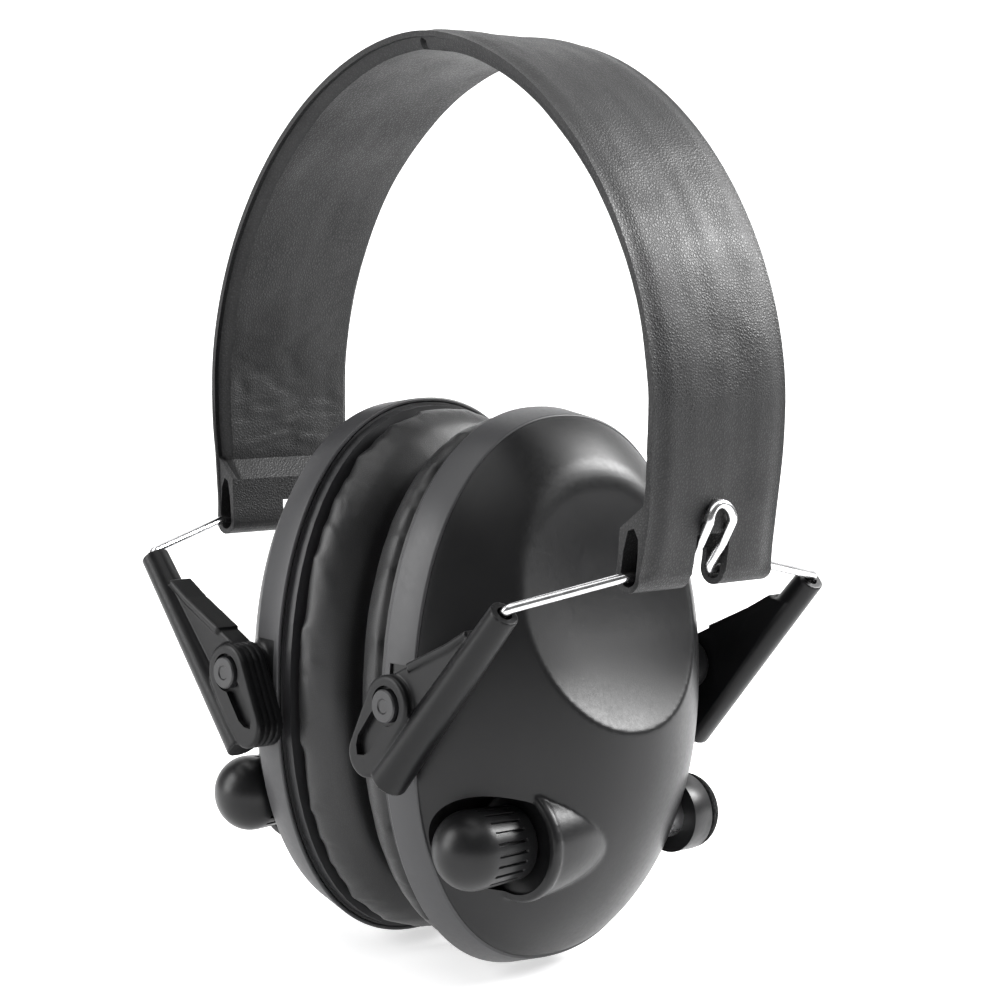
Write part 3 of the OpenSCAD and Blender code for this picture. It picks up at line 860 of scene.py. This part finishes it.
def inflated(blank):
    """The blank, puffed out by a short cloth simulation while its back edge is held by the cup."""
    mesh = blank.modifiers.new("even", "REMESH")
    mesh.mode, mesh.voxel_size = "VOXEL", 3 * METRE
    apply_modifiers(blank)
    held = blank.vertex_groups.new(name="held")
    held.add([v.index for v in blank.data.vertices if v.co.x > (CUSHION_BACK - 1.6) * METRE], 1,
             "REPLACE")
    cloth = blank.modifiers.new("cloth", "CLOTH")
    settings = cloth.settings
    settings.quality, settings.mass, settings.vertex_group_mass = 6, 0.05, "held"
    settings.tension_stiffness = settings.compression_stiffness = 25
    settings.use_pressure, settings.uniform_pressure_force = True, 4
    settings.effector_weights.gravity = 0
    cloth.collision_settings.use_collision = False
    for step in range(1, 21):
        bpy.context.scene.frame_set(step)
    apply_modifiers(blank)
    bpy.context.scene.frame_set(1)
    return blank


# The puckers in the cushion's cover, and the seam round its back
PUCKER_RATE, PUCKER_DEPTH, PUCKER_SHARPNESS = 9, 0.1, 6
SEAM_DEPTH, SEAM_HALF = 0.5, 0.4


def ear_cushion():
    blank = cushion_blank()
    inflated(blank)
    rest = [v.co.copy() for v in blank.data.vertices]
    low, high = CUSHION_FACE * METRE, CUSHION_BACK * METRE
    for vert, place in zip(blank.data.vertices, rest):
        x = min(max(place.x, low), high)
        wide = (abs(place.y) / (CUP_W - 1)) ** CUP_POWER + (abs(place.z) / (CUP_H - 1)) ** CUP_POWER
        scale = min(1.0, METRE * wide ** (-1 / CUP_POWER))
        vert.co = (x, place.y * scale, place.z * scale)
    fine = blank.modifiers.new("fine", "SUBSURF")
    fine.levels = fine.render_levels = 2
    apply_modifiers(blank)
    for vert in blank.data.vertices:
        p = vert.co / METRE
        around = math.atan2(p.y / CUP_W, p.z / CUP_H)
        side = min(max((p.x - 4) / 5, 0), 1)
        pucker = noise.noise(Vector((math.cos(around) * PUCKER_RATE, math.sin(around) * PUCKER_RATE,
                                     p.x * 0.12)))
        fold = PUCKER_DEPTH * max(0.0, 1 - abs(pucker) * PUCKER_SHARPNESS) * side
        seam = SEAM_DEPTH * math.exp(-((p.x - CUSHION_BACK + 1.6) / SEAM_HALF) ** 2)
        inward = Vector((0, p.y, p.z)).normalized()
        outside = 1 if (p.y / (CUP_W - 10)) ** 2 + (p.z / (CUP_H - 12)) ** 2 > 1 else -1
        vert.co = (p - inward * (fold + seam) * outside) * METRE
    blank.data.shade_smooth()
    return blank


# ---- Putting it together ----

def both_sides(right, body, nodes, slot):
    """Dresses a right-hand piece, mirrors it to the left, and lets both ride."""
    left = mirrored(right, "left_" + nodes[0], 0)
    right.name = "right_" + nodes[0]
    for side, obj in (("right", right), ("left", left)):
        dress(obj, slot)
        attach(obj, f"{side}_{body}")
        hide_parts(*[f"{side}_{n}" for n in nodes])
    return right, left


def build_cups():
    both_sides(cup_shell(), "cup", ["cup_shell"], "shell_plastic")
    both_sides(cup_rim(), "cup", ["cup_rim"], "rim_plastic")
    for side, sign, obj in zip(("right", "left"), (1, -1),
                               both_sides(ear_cushion(), "cup", ["ear_cushion"],
                                          "cushion_leatherette")):
        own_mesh(obj)
    both_sides(mic_foam(), "cup", ["mic_foam"], "mic_foam")
    both_sides(volume_knob(), "knob", ["volume_knob"], "knob_plastic")


def build_arms():
    arm, pin = rear_arm(), rear_pin()
    both_sides(mirrored(arm, "front", 1), "arms", ["front_arm"], "arm_plastic")
    both_sides(arm, "arms", ["rear_arm"], "arm_plastic")
    both_sides(mirrored(pin, "front", 1), "cup", ["front_pin"], "pin_plastic")
    both_sides(pin, "cup", ["rear_pin"], "pin_plastic")
    both_sides(bail(), "wire", ["bail"], "wire_chrome")


def build_band():
    right = band_cover_half()
    left = mirrored(right, "left_band_cover", 0)
    right.name = "right_band_cover"
    for side, sign, obj in (("right", 1, right), ("left", -1, left)):
        dress(obj, "band_leatherette")
        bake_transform(obj)
        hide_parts(f"{side}_band_cover", "band_cover")
    for name in ("spring_strip", "band_pad"):
        for prefix in ("", "right_", "left_"):
            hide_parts(prefix + name)


# ---- Stage ----

# How far the paper is below the cups, and how far it is turned, to face the camera
FLOOR_GAP, STAGE_TURN = 0.6, math.radians(46)


def stage_set():
    """White paper that curves up behind the object."""
    floor_z = -CUP_H - FLOOR_GAP
    width, depth, height, bend = 1600, 1500, 1500, 500
    profile = [(-1400, 0)] + [(depth - bend + bend * math.sin(a), bend - bend * math.cos(a))
                              for a in [math.radians(t) for t in range(0, 91, 6)]] + [(depth, height)]
    turn = Matrix.Rotation(STAGE_TURN, 3, "Z")
    verts = []
    for across in (-width, width):
        verts += [turn @ Vector((across, p, q + floor_z)) for p, q in profile]
    n = len(profile)
    floor = make_object("floor", verts, [(i, i + 1, n + i + 1, n + i) for i in range(n - 1)])
    paper = Nodes("Paper")
    tone = paper.blend_colours(paper.noise(6), (0.87, 0.87, 0.88), (0.9, 0.9, 0.9))
    floor.data.materials.append(paper.finish(tone, 0.9, paper.bump(paper.noise(900), 0.02, 0.2),
                                             Emission_Color=(1, 1, 1, 1), Emission_Strength=0.6))


def area_light(name, place, target, size, power, tint=(1, 1, 1)):
    data = bpy.data.lights.new(name, "AREA")
    data.shape, data.size, data.size_y = "RECTANGLE", size[0] * METRE, size[1] * METRE
    data.energy, data.color = power, tint
    obj = bpy.data.objects.new(name, data)
    bpy.context.scene.collection.objects.link(obj)
    obj.location = Vector(place) * METRE
    obj.rotation_mode = "QUATERNION"
    obj.rotation_quaternion = (Vector(target) - Vector(place)).to_track_quat("-Z", "Y")


ROOM_LIGHT = 0.16


def light_the_stage():
    """A dim room, a large softbox overhead, a brighter one behind and a weak one in front."""
    world = bpy.data.worlds.new("Studio")
    world.use_nodes = True
    world.node_tree.nodes["Background"].inputs["Color"].default_value = (1, 1, 1, 1)
    world.node_tree.nodes["Background"].inputs["Strength"].default_value = ROOM_LIGHT
    bpy.context.scene.world = world
    middle = Vector((0, 0, 40))
    area_light("Overhead", (0, 0, 1100), middle, (1600, 1600), 15)
    area_light("Key", middle + Vector((0.36, 0.78, 0.52)) * 1000, middle, (380, 380), 15)
    area_light("Fill", middle + Vector((-0.6, -0.8, 0.3)) * 1100, middle, (500, 800), 9)
    bpy.context.scene.view_settings.view_transform = "Standard"


# The camera's place, about the middle between the cups
CAMERA_TURN, CAMERA_LIFT, CAMERA_ROLL = math.radians(46.46), math.radians(5.53), math.radians(1.02)
CAMERA_FAR, CAMERA_SIDE, CAMERA_LEVEL = 569.6, 4.8, 38.2
FOCAL_SHARE = 2.63


def aim_camera():
    back = Vector((math.sin(CAMERA_TURN) * math.cos(CAMERA_LIFT),
                   -math.cos(CAMERA_TURN) * math.cos(CAMERA_LIFT), math.sin(CAMERA_LIFT)))
    right = Vector((math.cos(CAMERA_TURN), math.sin(CAMERA_TURN), 0))
    up = back.cross(right)
    level_right = right * math.cos(CAMERA_ROLL) + up * math.sin(CAMERA_ROLL)
    level_up = up * math.cos(CAMERA_ROLL) - right * math.sin(CAMERA_ROLL)
    data = bpy.data.cameras.new("Camera")
    data.sensor_width = 36
    data.lens = data.sensor_width * FOCAL_SHARE
    data.clip_start, data.clip_end = 0.01, 20
    obj = bpy.data.objects.new("Camera", data)
    bpy.context.scene.collection.objects.link(obj)
    place = level_right * CAMERA_SIDE + back * CAMERA_FAR + Vector((0, 0, CAMERA_LEVEL))
    axes = Matrix((level_right, level_up, back)).transposed()
    obj.matrix_world = Matrix.Translation(place * METRE) @ axes.to_4x4()
    bpy.context.scene.camera = obj


dress_cad_nodes()
build_cups()
build_arms()
build_band()
stage_set()
light_the_stage()
aim_camera()
